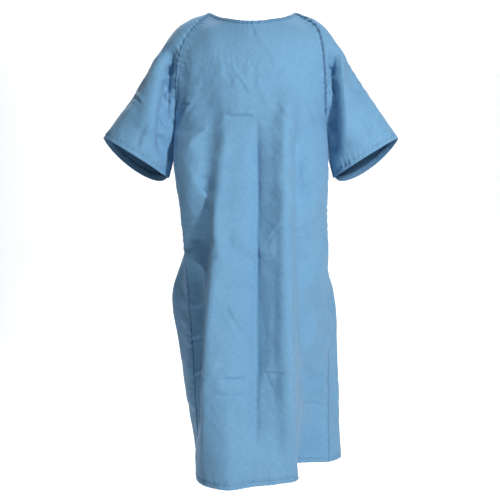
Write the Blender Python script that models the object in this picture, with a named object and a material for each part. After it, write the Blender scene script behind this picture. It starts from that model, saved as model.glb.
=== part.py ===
"""Patient gown with raglan sleeves, open down the back and closed with ties.

The cloth is one smooth surface, described by a few sections, and every piece is a tile of it.
Origin at the middle of the neck opening at shoulder height, front towards -Y, +Z up, metres.
Left and right are the wearer's, so the left side is at +X.
"""

import math

import bmesh
import bpy
import numpy as np
from mathutils import Matrix

# Driving dimensions
HEM_Z = -1.265
UNDERARM = (0.205, 0.015, -0.33)
SLEEVE_SHOULDER = (0.215, 0.012, -0.055)
SLEEVE_TIP = (0.405, 0.010, -0.341)
SLEEVE_BOTTOM = (0.248, 0.010, -0.447)
SLEEVE_DEPTHS = (0.090, 0.086, 0.076)
CLOTH = 0.0012
DOUBLE_CLOTH = 0.0018
GAP = 0.0005
SEAM_GAP = 0.0014
HINGE_GAP = 0.0016
BINDING_WIDTH = 0.010
SEAM_HALF = 0.004
HEM_WIDTH = 0.020
FACING_WIDTH = 0.018
UNDERARM_CLEARANCE = 0.009
UNDERARM_ROWS = 9
TIE_WIDTH = 0.012
TIE_THICK = 0.0016
FLAP_TOP_Z = -0.472  # below the sleeves, so that the back opens clear of them
FLAP_STEP = 1 + (UNDERARM[2] - FLAP_TOP_Z) * 3
WAIST_TIE_Z = -0.565
WAIST_TIE_LENGTH = 0.34
PATCH_HEIGHT = 0.024
KNOT = (0.0075, 0.006, 0.008)

# Sections of the body of the gown, going round from the back edge on the wearer's right, over the
# right side seam, across the front and over the left side seam to the other back edge.
SECTIONS = {
    UNDERARM[2]: [
        (-0.006, 0.125), (-0.090, 0.120), (-0.175, 0.085), (-0.205, 0.015), (-0.190, -0.060),
        (-0.135, -0.112), (-0.060, -0.132), (0.010, -0.134), (0.065, -0.135), (0.120, -0.118),
        (0.180, -0.060), (0.205, 0.015), (0.175, 0.085), (0.095, 0.120), (0.006, 0.125),
    ],
    -0.65: [
        (-0.006, 0.140), (-0.090, 0.138), (-0.180, 0.100), (-0.183, 0.020), (-0.165, -0.055),
        (-0.105, -0.142), (-0.050, -0.148), (0.015, -0.135), (0.060, -0.142), (0.110, -0.130),
        (0.170, -0.050), (0.213, 0.061), (0.190, 0.125), (0.100, 0.142), (0.006, 0.140),
    ],
    -0.76: [
        (-0.006, 0.148), (-0.100, 0.150), (-0.222, 0.120), (-0.175, 0.022), (-0.162, -0.055),
        (-0.110, -0.142), (-0.055, -0.152), (0.015, -0.135), (0.058, -0.140), (0.110, -0.128),
        (0.172, -0.035), (0.216, 0.077), (0.228, 0.140), (0.110, 0.155), (0.006, 0.148),
    ],
    -0.92: [
        (-0.006, 0.165), (-0.090, 0.165), (-0.178, 0.115), (-0.164, 0.024), (-0.156, -0.055),
        (-0.118, -0.142), (-0.060, -0.158), (0.012, -0.134), (0.056, -0.134), (0.112, -0.118),
        (0.172, 0.000), (0.218, 0.100), (0.243, 0.160), (0.120, 0.180), (0.006, 0.165),
    ],
    HEM_Z: [
        (-0.006, 0.200), (-0.085, 0.188), (-0.148, 0.125), (-0.140, 0.030), (-0.146, -0.045),
        (-0.122, -0.120), (-0.060, -0.163), (0.005, -0.126), (0.070, -0.096), (0.119, -0.030),
        (0.150, 0.135), (0.228, 0.150), (0.262, 0.232), (0.140, 0.245), (0.006, 0.200),
    ],
}
RIGHT_SEAM, LEFT_SEAM = 3, 11

# The seam lines from the neckline (0) to the underarm (1) and the line over the top of the sleeve.
SEAM_STEPS = (0.0, 0.25, 0.5, 0.75, 1.0)
FRONT_SEAM = {
    -1: [(0.110, -0.014, -0.004), (0.150, -0.056, -0.052), (0.186, -0.070, -0.115), (0.200, -0.052, -0.205)],
    1: [(0.120, -0.014, -0.004), (0.174, -0.052, -0.048), (0.192, -0.066, -0.112), (0.199, -0.050, -0.205)],
}
BACK_SEAM = [(0.106, 0.030, -0.004), (0.145, 0.062, -0.045), (0.178, 0.084, -0.105), (0.196, 0.078, -0.200)]
TOP_LINE = [(0.114, 0.008, 0.0), (0.168, 0.010, -0.017), SLEEVE_SHOULDER, (0.276, 0.012, -0.150)]
SLEEVE_STEPS = (0.0, 0.25, 0.5, 0.75, 1.0, 1.35, 1.7)
ARC_AT_STEPS = (90, 92, 98, 122, 180, 180, 180)
CHEST_DROP = (0.050, 0.056, 0.048, 0.026)
CHEST_BULGE = (0.088, 0.068, 0.062, 0.084)
BACK_EDGE = [(0.052, -0.014), (0.082, -0.070), (0.104, -0.125), (0.118, -0.205)]

BLUE = (0.185, 0.405, 0.640)
DEEP_BLUE = (0.150, 0.345, 0.570)
TAPE_BLUE = (0.215, 0.440, 0.670)


def spline(knots, values, at):
    """Smooth curve through values at knots, read at the places in at."""
    knots, values, at = (np.asarray(a, float) for a in (knots, values, at))
    slopes = np.gradient(values, knots, axis=0)
    i = np.clip(np.searchsorted(knots, at, side="right") - 1, 0, len(knots) - 2)
    width = knots[i + 1] - knots[i]
    t = (at - knots[i]) / width
    shape = (-1,) + (1,) * (values.ndim - 1)
    t, width = t.reshape(shape), width.reshape(shape)
    rise = (2 * t**3 - 3 * t**2 + 1) * values[i] + (3 * t**2 - 2 * t**3) * values[i + 1]
    return rise + width * ((t**3 - 2 * t**2 + t) * slopes[i] + (t**3 - t**2) * slopes[i + 1])


def mirrored(points, side):
    """Points given for the wearer's left side, put on the side asked for."""
    return np.array(points, float) * (side, 1, 1)


def section_rows():
    """Sections from the underarm down, as rows of points."""
    rows = []
    for z, outline in SECTIONS.items():
        rows.append([(x, y, z) for x, y in outline])
    return np.array(rows)


def row_steps():
    """Where each row of a panel lies, counted from the neckline in seam steps."""
    below = [1 + (UNDERARM[2] - z) * 3 for z in SECTIONS]
    return np.array(list(SEAM_STEPS[:-1]) + below)


def front_seam(side):
    return mirrored([*FRONT_SEAM[side], UNDERARM], side)


def back_seam(side):
    return mirrored([*BACK_SEAM, UNDERARM], side)


def front_net():
    """Control rows of the front panel, with one spare column beyond each side for its slope."""
    share = np.linspace(0, 1, LEFT_SEAM - RIGHT_SEAM + 1)
    arch = np.sin(math.pi * share) ** 0.75
    first, last = front_seam(-1), front_seam(1)
    rows = []
    for k, (drop, bulge) in enumerate(zip(CHEST_DROP, CHEST_BULGE)):
        row = first[k] + share[:, None] * (last[k] - first[k])
        row[:, 1] -= bulge * arch
        row[:, 2] -= drop * arch
        outer = [2 * row[0] - row[1], 2 * row[-1] - row[-2]]
        rows.append(np.vstack([outer[0], row, outer[1]]))
    lower = section_rows()[:, RIGHT_SEAM - 1 : LEFT_SEAM + 2]
    return np.array(rows + list(lower))


def back_net(side):
    """Control rows of one back panel, from its open edge to the seam, with a spare column."""
    seam = back_seam(side)
    rows = []
    for k, (y, z) in enumerate(BACK_EDGE):
        edge = np.array([side * 0.006, y, z])
        row = edge + np.linspace(0, 1, 4)[:, None] * (seam[k] - edge)
        row[1:3, 1] += 0.010 + 0.004 * k
        row[1:3, 2] += 0.006
        rows.append(np.vstack([row, 2 * row[-1] - row[-2]]))
    lower = section_rows()
    lower = lower[:, :5] if side < 0 else lower[:, ::-1][:, :5]
    return np.array(rows + list(lower))


def sleeve_net(side):
    """Control rows of a sleeve, each an arc from the front seam over the top to the back seam."""
    front = [*front_seam(side)]
    back = [*back_seam(side)]
    tip, bottom = mirrored([SLEEVE_TIP, SLEEVE_BOTTOM], side)
    upper_end = mirrored([(0.334, 0.011, -0.240)], side)[0]
    top = [*mirrored(TOP_LINE, side), upper_end, (upper_end + tip) / 2, tip]
    seam = [None] * 4 + [front[4], (front[4] + bottom) / 2, bottom]
    rows = []
    for k, degrees in enumerate(ARC_AT_STEPS):
        arc = math.radians(degrees)
        if k < 4:
            middle = (front[k] + back[k]) / 2
            forward = (front[k] - back[k]) / 2 / math.sin(arc)
        else:
            middle = seam[k]
            forward = np.array([0, -SLEEVE_DEPTHS[k - 4], 0])
        upward = (top[k] - middle) / (1 - math.cos(arc))
        centre = top[k] - upward
        angles = np.linspace(arc, -arc, 17)
        rows.append(centre + np.outer(np.cos(angles), upward) + np.outer(np.sin(angles), forward))
    return np.array(rows)


def panel(net, steps, row_count, column_count, spare=(0, 0)):
    """A fine grid of points on a control net. spare columns at the start and end are left out."""
    at_rows = np.linspace(steps[0], steps[-1], row_count)
    rows = spline(steps, net, at_rows)
    columns = np.arange(net.shape[1])
    at_columns = np.linspace(spare[0], net.shape[1] - 1 - spare[1], column_count)
    return spline(columns, rows.transpose(1, 0, 2), at_columns).transpose(1, 0, 2)


def pin_edge(grid, rows, column, target):
    """Moves one edge of a grid onto a target line over some rows, easing off across the columns."""
    count = rows.stop - rows.start
    spots = np.round(np.linspace(0, len(target) - 1, count)).astype(int)
    shift = target[spots] - grid[rows, column]
    reach = np.linspace(0, 1, grid.shape[1])
    reach = reach if column == 0 else reach[::-1]
    ease = np.clip(1 - 3 * reach, 0, 1) ** 2
    grid[rows] += ease[None, :, None] * shift[:, None, :]


def along(line, start, end, count):
    """The stretch of a line from start to end metres along it; negative ends count from its end."""
    lengths = np.concatenate([[0], np.cumsum(np.linalg.norm(np.diff(line, axis=0), axis=1))])
    stop = lengths[-1] + end if end <= 0 else end
    at = np.linspace(start, stop, count)
    return np.stack([np.interp(at, lengths, line[:, k]) for k in range(3)], axis=1)


def across(grid, start, end, count):
    """The same stretch of every row of a grid. start and end may differ from row to row."""
    starts = np.broadcast_to(start, len(grid))
    ends = np.broadcast_to(end, len(grid))
    return np.array([along(*cut, count) for cut in zip(grid, starts, ends)])


def down(grid, start, end, count):
    """The same stretch of every column of a grid."""
    return across(grid.transpose(1, 0, 2), start, end, count).transpose(1, 0, 2)


def normals(grid):
    """Unit normals of a grid of points."""
    by_row = np.gradient(grid, axis=0)
    by_column = np.gradient(grid, axis=1)
    normal = np.cross(by_row, by_column)
    return normal / np.maximum(np.linalg.norm(normal, axis=2, keepdims=True), 1e-9)


def material(name, colour, roughness):
    """Plain matt cloth."""
    made = bpy.data.materials.new(name)
    made.use_nodes = True
    shader = made.node_tree.nodes["Principled BSDF"]
    shader.inputs["Base Color"].default_value = (*colour, 1)
    shader.inputs["Roughness"].default_value = roughness
    shader.inputs["Metallic"].default_value = 0
    return made


def cloth(name, grid, thickness, colour):
    """One closed sheet of cloth along a grid of points, as an object."""
    offset = normals(grid) * thickness / 2
    mesh = bpy.data.meshes.new(name)
    shape = bmesh.new()
    count_rows, count_columns = grid.shape[:2]
    layers = []
    for points in (grid + offset, grid - offset):
        layers.append([[shape.verts.new(p) for p in row] for row in points])
    for rows in layers:
        for i in range(count_rows - 1):
            for j in range(count_columns - 1):
                shape.faces.new((rows[i][j], rows[i][j + 1], rows[i + 1][j + 1], rows[i + 1][j]))
    edge = [(0, j) for j in range(count_columns)]
    edge += [(i, count_columns - 1) for i in range(1, count_rows)]
    edge += [(count_rows - 1, j) for j in range(count_columns - 2, -1, -1)]
    edge += [(i, 0) for i in range(count_rows - 2, 0, -1)]
    outer, inner = layers
    for (i, j), (m, n) in zip(edge, edge[1:] + edge[:1]):
        shape.faces.new((outer[i][j], outer[m][n], inner[m][n], inner[i][j]))
    bmesh.ops.recalc_face_normals(shape, faces=shape.faces)
    shape.to_mesh(mesh)
    shape.free()
    for face in mesh.polygons:
        face.use_smooth = True
    placed = bpy.data.objects.new(name, mesh)
    bpy.context.scene.collection.objects.link(placed)
    placed.data.materials.append(material(name, colour, 0.85))
    return placed


def ribbon(route, width_direction, width):
    """A flat tape along a route, as a grid of points."""
    route = np.asarray(route, float)
    side = np.asarray(width_direction, float) * width / 2
    return np.stack([route - side, route, route + side], axis=1)


def smooth_route(points, count):
    points = np.asarray(points, float)
    return spline(range(len(points)), points, np.linspace(0, len(points) - 1, count))


def with_origin(placed, parent):
    """Parents a piece to its joint's empty and keeps it where it is."""
    placed.parent = parent
    placed.matrix_parent_inverse = parent.matrix_world.inverted()


def joint_empty(name, place):
    empty = bpy.data.objects.new(name, None)
    empty.location = place
    bpy.context.scene.collection.objects.link(empty)
    bpy.context.view_layer.update()
    return empty


def make_front(front):
    """Front panel and its hem."""
    trimmed = across(front, SEAM_HALF + SEAM_GAP, -SEAM_HALF - SEAM_GAP, 21)
    body = down(trimmed, BINDING_WIDTH + SEAM_GAP, -HEM_WIDTH - GAP, 34)
    hem = down(trimmed[::-1], 0, HEM_WIDTH, 3)
    cloth("front_panel", body, CLOTH, BLUE)
    cloth("front_hem", hem, DOUBLE_CLOTH, DEEP_BLUE)


def make_binding(front, sleeves, backs):
    """The neck binding, round the whole neckline from one back edge to the other."""
    right_back, left_back = backs
    right_sleeve, left_sleeve = sleeves
    parts = []
    for grid in (right_back, right_sleeve[:, ::-1], front, left_sleeve, left_back[:, ::-1]):
        parts.append(down(grid, 0, BINDING_WIDTH, 3)[:, ::4])
    pieces = [parts[0]] + [part[:, 1:] for part in parts[1:]]
    cloth("neck_binding", np.concatenate(pieces, axis=1), DOUBLE_CLOTH, DEEP_BLUE)


def seam_strip(name, one, other, start, end, count):
    """A felled seam between two grids whose first columns lie on the same line."""
    strip = []
    for row_a, row_b in zip(one, other):
        near = along(row_a, 0, SEAM_HALF, 2)
        far = along(row_b, 0, SEAM_HALF, 2)
        strip.append([near[1], (near[0] + far[0]) / 2, far[1]])
    cloth(name, down(np.array(strip), start, end, count), DOUBLE_CLOTH, DEEP_BLUE)


def split_row(grid, steps, step):
    """Index of the row of a grid nearest to a step."""
    share = (step - steps[0]) / (steps[-1] - steps[0])
    return round(share * (len(grid) - 1))


def make_sleeve(word, side, grid):
    """The shoulder part stays with the body; the rest lifts about the shoulder point."""
    split = split_row(grid, SLEEVE_STEPS, 0.5)
    inner = across(grid, SEAM_HALF + SEAM_GAP, -SEAM_HALF - SEAM_GAP, 13)
    shoulder = down(inner[: split + 1], BINDING_WIDTH + 2 * SEAM_GAP, -HINGE_GAP / 2, 8)
    cloth(f"{word}_shoulder", shoulder, CLOTH, BLUE)
    pivot = joint_empty(f"{word}_sleeve_joint", (side * SLEEVE_SHOULDER[0], 0, SLEEVE_SHOULDER[2]))
    under = split_row(grid, SLEEVE_STEPS, 1.0)
    nearness = np.exp(-(((np.arange(split, len(grid)) - under) / UNDERARM_ROWS) ** 2))
    trim = SEAM_HALF + HINGE_GAP + UNDERARM_CLEARANCE * nearness
    lower = across(grid[split:], trim, -trim, 21)
    sleeve = cloth(f"{word}_sleeve", down(lower, HINGE_GAP / 2, -HEM_WIDTH - GAP, 14), CLOTH, BLUE)
    ending = down(lower[::-1], 0, HEM_WIDTH, 3)
    hem = cloth(f"{word}_sleeve_hem", ending, DOUBLE_CLOTH, DEEP_BLUE)
    tube = grid[under:]
    strip = []
    for row in tube:
        strip.append([along(row, 0, SEAM_HALF, 2)[1], row[0], along(row[::-1], 0, SEAM_HALF, 2)[1]])
    underarm_line = down(np.array(strip), 0.022, 0, 5)
    underarm_seam = cloth(f"{word}_underarm_seam", underarm_line, DOUBLE_CLOTH, DEEP_BLUE)
    for placed in (sleeve, hem, underarm_seam):
        with_origin(placed, pivot)


def hinge_line(side):
    """The straight side seam, from the underarm to the hem."""
    seam = SECTIONS[HEM_Z][LEFT_SEAM if side > 0 else RIGHT_SEAM]
    return np.array([side * UNDERARM[0], UNDERARM[1], UNDERARM[2]]), np.array([*seam, HEM_Z])


def make_back(word, side, grid, steps):
    """A back yoke that stays with the shoulders, and the back panel below it that opens."""
    split = split_row(grid, steps, FLAP_STEP)
    yoke_part = across(grid[: split + 1], FACING_WIDTH + GAP, -SEAM_HALF - SEAM_GAP, 11)
    yoke = down(yoke_part, BINDING_WIDTH + SEAM_GAP, -HINGE_GAP / 2, 18)
    cloth(f"{word}_back_yoke", yoke, CLOTH, BLUE)
    edge_part = across(grid, 0, FACING_WIDTH, 3)
    yoke_facing = down(edge_part[: split + 1], BINDING_WIDTH + SEAM_GAP, -HINGE_GAP / 2, 18)
    cloth(f"{word}_yoke_facing", yoke_facing, DOUBLE_CLOTH, DEEP_BLUE)
    top, bottom = hinge_line(side)
    pivot = joint_empty(f"{word}_back_joint", (top + bottom) / 2)
    lower = across(grid[split:], FACING_WIDTH + GAP, -SEAM_HALF - HINGE_GAP, 14)
    panel_grid = down(lower, HINGE_GAP / 2, -HEM_WIDTH - GAP, 15)
    back_panel = cloth(f"{word}_back_panel", panel_grid, CLOTH, BLUE)
    hem = cloth(f"{word}_back_hem", down(lower[::-1], 0, HEM_WIDTH, 3), DOUBLE_CLOTH, DEEP_BLUE)
    facing_grid = down(edge_part[split:], HINGE_GAP / 2, 0, 13)
    facing = cloth(f"{word}_back_facing", facing_grid, DOUBLE_CLOTH, DEEP_BLUE)
    for placed in (back_panel, hem, facing):
        with_origin(placed, pivot)
    return pivot, edge_part[split:]


def make_waist_tie(word, side, edge, flap_pivot):
    """A tape that hangs from the open edge, and the square patch that it is sewn to."""
    row = int(np.argmin(np.abs(edge[:, 1, 2] - WAIST_TIE_Z)))
    outward = normals(edge)[row, 1]
    outward = outward * np.sign(outward[1])
    patch = down(edge[row - 3 : row + 4], 0.004, PATCH_HEIGHT, 3) + outward * 0.0025
    patch = across(patch, 0.002, -0.002, 3)
    patch_object = cloth(f"{word}_tie_patch", patch, TIE_THICK, TAPE_BLUE)
    with_origin(patch_object, flap_pivot)
    hang = patch[1, 1] + outward * 0.0030
    route = smooth_route(
        [
            hang,
            hang + np.array([side * 0.002, 0.008, -WAIST_TIE_LENGTH * 0.35]),
            hang + np.array([side * 0.006, 0.019, -WAIST_TIE_LENGTH * 0.7]),
            hang + np.array([side * 0.012, 0.030, -WAIST_TIE_LENGTH]),
        ],
        14,
    )
    pivot = joint_empty(f"{word}_waist_tie_joint", hang)
    tape = cloth(f"{word}_waist_tie", ribbon(route, (1, 0, 0), TIE_WIDTH), TIE_THICK, TAPE_BLUE)
    with_origin(tape, pivot)


def make_neck_ties(backs):
    """Two tapes from the ends of the binding, tied in a bow behind the neck."""
    ends = (backs[0][0, 0] + backs[1][0, 0]) / 2
    knot = ends + np.array([0, DOUBLE_CLOTH / 2 + KNOT[1] + 0.0015, -BINDING_WIDTH / 2])
    bow = [
        (KNOT[0] + 0.0012, 0.000, 0.002),
        (0.022, 0.006, 0.008),
        (0.042, 0.014, 0.002),
        (0.045, 0.020, -0.010),
        (0.034, 0.022, -0.014),
        (0.016, 0.021, -0.012),
        (0.013, 0.032, -0.036),
        (0.022, 0.054, -0.080),
        (0.028, 0.078, -0.130),
    ]
    for word, side in (("right", -1), ("left", 1)):
        route = smooth_route(knot + mirrored(bow, side), 30)
        cloth(f"{word}_neck_tie", ribbon(route, (0, 1, 0), TIE_WIDTH * 0.6), TIE_THICK, TAPE_BLUE)
    bpy.ops.mesh.primitive_uv_sphere_add(segments=12, ring_count=8, radius=1, location=knot)
    bow_knot = bpy.context.object
    bow_knot.name = "neck_tie_knot"
    bow_knot.data.transform(Matrix.Diagonal((*KNOT, 1)))
    bow_knot.data.materials.append(material("neck_tie_knot", TAPE_BLUE, 0.85))


def join_edges(front, sleeves, backs, steps):
    """Brings the edges of neighbouring grids onto one line each."""
    split = split_row(front, steps, 1.0)
    for side, sleeve, back in zip((-1, 1), sleeves, backs):
        top, bottom = hinge_line(side)
        seam = top + np.linspace(0, 1, len(front) - split)[:, None] * (bottom - top)
        front_edge = 0 if side < 0 else front.shape[1] - 1
        pin_edge(front, slice(split, len(front)), front_edge, seam)
        pin_edge(back, slice(split, len(back)), back.shape[1] - 1, seam)
        raglan = slice(0, split_row(sleeve, SLEEVE_STEPS, 1.0) + 1)
        pin_edge(sleeve, raglan, 0, front[: split + 1, front_edge])
        pin_edge(sleeve, raglan, sleeve.shape[1] - 1, back[: split + 1, -1])
        tube = slice(raglan.stop, len(sleeve))
        share = np.linspace(0, 1, len(sleeve) - raglan.stop + 1)[1:, None]
        underarm_line = top + share * (mirrored([SLEEVE_BOTTOM], side)[0] - top)
        pin_edge(sleeve, tube, 0, underarm_line)
        pin_edge(sleeve, tube, sleeve.shape[1] - 1, underarm_line)


def main():
    for old in list(bpy.data.objects):
        bpy.data.objects.remove(old, do_unlink=True)
    steps = row_steps()
    front = panel(front_net(), steps, 241, 97, (1, 1))
    backs = [panel(back_net(side), steps, 241, 49, (0, 1)) for side in (-1, 1)]
    sleeves = [panel(sleeve_net(side), SLEEVE_STEPS, 137, 97) for side in (-1, 1)]
    join_edges(front, sleeves, backs, steps)
    make_front(front)
    make_binding(front, sleeves, backs)
    for word, side, sleeve, back in zip(("right", "left"), (-1, 1), sleeves, backs):
        under_sleeve = split_row(sleeve, SLEEVE_STEPS, 1.0)
        under_panel = split_row(front, steps, 1.0)
        pick = np.linspace(0, 1, 60)
        sleeve_rows = sleeve[np.round(pick * under_sleeve).astype(int)]
        front_rows = front[np.round(pick * under_panel).astype(int)]
        back_rows = back[np.round(pick * under_panel).astype(int)]
        front_side = front_rows if side < 0 else front_rows[:, ::-1]
        begin = BINDING_WIDTH + SEAM_GAP
        seam_strip(f"{word}_front_raglan_seam", sleeve_rows, front_side, begin, -0.006, 20)
        seam_strip(f"{word}_back_raglan_seam", sleeve_rows[:, ::-1], back_rows[:, ::-1], begin, -0.006, 20)
        front_low = front[under_panel:] if side < 0 else front[under_panel:, ::-1]
        seam_strip(f"{word}_side_seam", front_low, back[under_panel:, ::-1], 0.006, 0, 24)
        make_sleeve(word, side, sleeve)
        pivot, edge = make_back(word, side, back, steps)
        make_waist_tie(word, side, edge, pivot)
    make_neck_ties(backs)


main()
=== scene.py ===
"""Looks of the patient gown: simulated cloth, felled seams, hems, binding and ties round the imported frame.

The whole gown is one welded sheet while the cloth is simulated. It is then cut along its seams into the
pieces that a tailor would cut, and the seams, hems, facings and stitching are laid along those edges.
Lengths are in metres unless a comment says mm. Left and right are the wearer's: left is +X, front is -Y.
"""

import math

import bpy
import numpy as np
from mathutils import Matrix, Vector


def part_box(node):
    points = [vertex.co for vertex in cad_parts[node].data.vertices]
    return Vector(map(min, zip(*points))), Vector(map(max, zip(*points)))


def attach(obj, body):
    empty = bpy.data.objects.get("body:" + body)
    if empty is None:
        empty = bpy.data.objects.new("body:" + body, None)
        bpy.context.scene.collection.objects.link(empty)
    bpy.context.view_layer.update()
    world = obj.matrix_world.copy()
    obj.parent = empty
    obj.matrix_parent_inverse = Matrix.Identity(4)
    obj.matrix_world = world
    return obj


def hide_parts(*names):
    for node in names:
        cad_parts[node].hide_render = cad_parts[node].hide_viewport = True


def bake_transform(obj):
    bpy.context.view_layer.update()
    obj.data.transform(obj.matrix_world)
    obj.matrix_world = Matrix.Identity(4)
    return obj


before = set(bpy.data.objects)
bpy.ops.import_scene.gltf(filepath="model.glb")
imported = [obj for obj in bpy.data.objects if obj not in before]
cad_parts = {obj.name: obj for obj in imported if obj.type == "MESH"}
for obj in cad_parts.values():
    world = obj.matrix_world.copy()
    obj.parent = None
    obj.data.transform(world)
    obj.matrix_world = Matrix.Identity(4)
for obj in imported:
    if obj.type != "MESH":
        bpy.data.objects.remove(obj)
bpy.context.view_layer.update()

# Levels and points of the gown, close to the frame's own, and the sizes of its sewn parts
HEM_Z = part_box("front_hem")[0].z
UNDERARM = np.array([0.205, 0.015, -0.33])
SHOULDER = np.array([0.215, 0.012, -0.055])
SLEEVE_TIP = np.array([0.405, 0.01, -0.341])
SLEEVE_BOTTOM = np.array([0.236, 0.01, -0.447])
SLEEVE_DEPTHS = (0.09, 0.086, 0.076)
BINDING_WIDTH = 0.01
HEM_WIDTH = 0.02
FACING_WIDTH = 0.018
SEAM_HALF = 0.004
TIE_WIDTH = 0.012
TIE_THICK = 0.0009
CLOTH_THICK = 0.0006

# Sections close to the frame's own, in mm: their level, then (x, y) round from the right back edge
SECTIONS = {
    -330: [
        (-6, 125), (-90, 120), (-175, 85), (-205, 15), (-190, -60),
        (-135, -112), (-60, -132), (10, -134), (65, -135), (120, -118),
        (180, -60), (205, 15), (175, 85), (95, 120), (6, 125),
    ],
    -650: [
        (-6, 140), (-90, 138), (-180, 100), (-183, 20), (-165, -55),
        (-105, -142), (-50, -148), (15, -135), (60, -142), (110, -130),
        (170, -50), (213, 61), (190, 125), (100, 142), (6, 140),
    ],
    -760: [
        (-6, 148), (-100, 150), (-222, 120), (-175, 22), (-162, -55),
        (-110, -142), (-55, -152), (15, -135), (58, -140), (110, -128),
        (172, -35), (216, 77), (228, 140), (110, 155), (6, 148),
    ],
    -920: [
        (-6, 165), (-90, 165), (-200, 118), (-164, 24), (-156, -55),
        (-118, -142), (-60, -158), (12, -134), (56, -134), (112, -118),
        (172, 0), (218, 100), (243, 160), (120, 180), (6, 165),
    ],
    -1265: [
        (-6, 200), (-85, 188), (-148, 125), (-140, 30), (-146, -45),
        (-122, -120), (-60, -163), (5, -126), (72, -98), (126, -50),
        (122, 115), (228, 150), (262, 232), (140, 245), (6, 200),
    ],
}
RIGHT_SEAM, LEFT_SEAM = 3, 11
UPPER_STEPS = (0.0, 0.25, 0.5, 0.75)
FRONT_SEAM = {
    -1: [(0.11, -0.014, -0.004), (0.15, -0.056, -0.052), (0.186, -0.07, -0.115), (0.2, -0.052, -0.205)],
    1: [(0.12, -0.014, -0.004), (0.174, -0.052, -0.048), (0.192, -0.066, -0.112), (0.199, -0.05, -0.205)],
}
BACK_SEAM = [(0.106, 0.03, -0.004), (0.145, 0.062, -0.045), (0.178, 0.084, -0.105), (0.196, 0.078, -0.2)]
TOP_LINE = [(0.114, 0.008, 0.0), (0.168, 0.01, -0.017), tuple(SHOULDER), (0.276, 0.012, -0.15)]
UPPER_END = (0.334, 0.011, -0.24)
SLEEVE_STEPS = (0.0, 0.25, 0.5, 0.75, 1.0, 1.35, 1.7)
ARC_AT_STEPS = (90, 92, 98, 122, 180, 180, 180)
CHEST_DROP = (0.043, 0.052, 0.047, 0.026)
CHEST_BULGE = (0.088, 0.068, 0.062, 0.084)
BACK_EDGE = [(0.052, -0.014), (0.082, -0.07), (0.104, -0.125), (0.118, -0.205)]

# How finely the simulated sheet is divided, and how many times finer the finished pieces are
UPPER_ROWS, LOWER_ROWS, TUBE_ROWS = 34, 92, 12
FRONT_COLUMNS, BACK_COLUMNS, SLEEVE_COLUMNS = 64, 30, 56
ROW_TIMES, COLUMN_TIMES = 3, 2
UNDER = UPPER_ROWS * ROW_TIMES

# The simulation, and how firmly it holds the cloth at each height
SIM_FRAMES = 36
CLOTH_SETTINGS = {
    "quality": 5, "mass": 0.0003, "tension_stiffness": 15, "compression_stiffness": 15,
    "shear_stiffness": 5, "bending_stiffness": 2, "air_damping": 1.5, "pin_stiffness": 0.8,
    "shrink_min": -0.006,
}
HELD_LEVELS = (-1.1, -0.45, -0.2, -0.1, -0.05)
HELD_AT_LEVELS = (0.3, 0.06, 0.08, 0.2, 0.5, 1.0)

# How much lower the back of a sleeve's opening hangs, and how much higher its front
BACK_HANG, FRONT_LIFT = 0.034, 0.004

# Folds and creases, in mm: a path of (x, z) seen from the front, its width, its height (negative where the
# cloth sinks), its section and, where it isn't the usual share, how much of each end it dies out over
FRONT_FOLDS = [
    ([(15, -280), (16, -700), (15, -1200)], 36, -24, "sharp"),
    ([(-116, -30), (-94, -140), (-66, -300)], 32, 5, "round"),
    ([(-70, -300), (-98, -600), (-126, -950), (-136, -1240)], 18, 10, "round"),
    ([(-104, -200), (-124, -500), (-148, -750), (-168, -1050)], 34, -16, "round"),
    ([(-118, -400), (-144, -700), (-164, -950), (-170, -1220)], 26, -28, "round"),
    ([(92, -160), (86, -420), (85, -700), (90, -1000), (100, -1240)], 24, 17, "round"),
    ([(126, -260), (134, -480), (144, -700), (156, -950), (160, -1120)], 24, -26, "round"),
    ([(198, -550), (215, -800), (224, -1100)], 22, 12, "round"),
    ([(-104, -168), (-55, -176), (-18, -223), (4, -262)], 13, 2, "round"),
    ([(6, -62), (34, -112), (82, -180)], 10, 2.4, "round"),
    ([(110, -215), (112, -300), (116, -380)], 14, 3, "round"),
    ([(-150, -100), (-160, -200), (-165, -320)], 20, 3, "round"),
]
SLEEVE_FOLDS = {
    "right": [
        ([(214, -95), (222, -190), (228, -300), (236, -410)], 17, -36, "round"),
        ([(245, -90), (262, -200), (282, -360)], 28, 7, "round"),
        ([(290, -200), (312, -300), (330, -380)], 30, -4, "round"),
    ],
    "left": [
        ([(224, -100), (212, -190), (212, -280), (222, -410)], 15, -34, "round"),
        ([(238, -80), (247, -210), (254, -370)], 16, 9, "round"),
        ([(266, -120), (290, -240), (310, -370)], 30, -10, "round"),
    ],
}
BACK_FOLDS = [
    ([(45, -100), (50, -400), (60, -800), (75, -1200)], 22, 6, "round"),
    ([(85, -180), (95, -550), (110, -900), (125, -1220)], 24, -10, "round"),
    ([(135, -300), (140, -620), (160, -900), (175, -1200)], 22, 8, "round"),
    ([(30, -70), (75, -160), (140, -240)], 14, 4, "round"),
]
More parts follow.
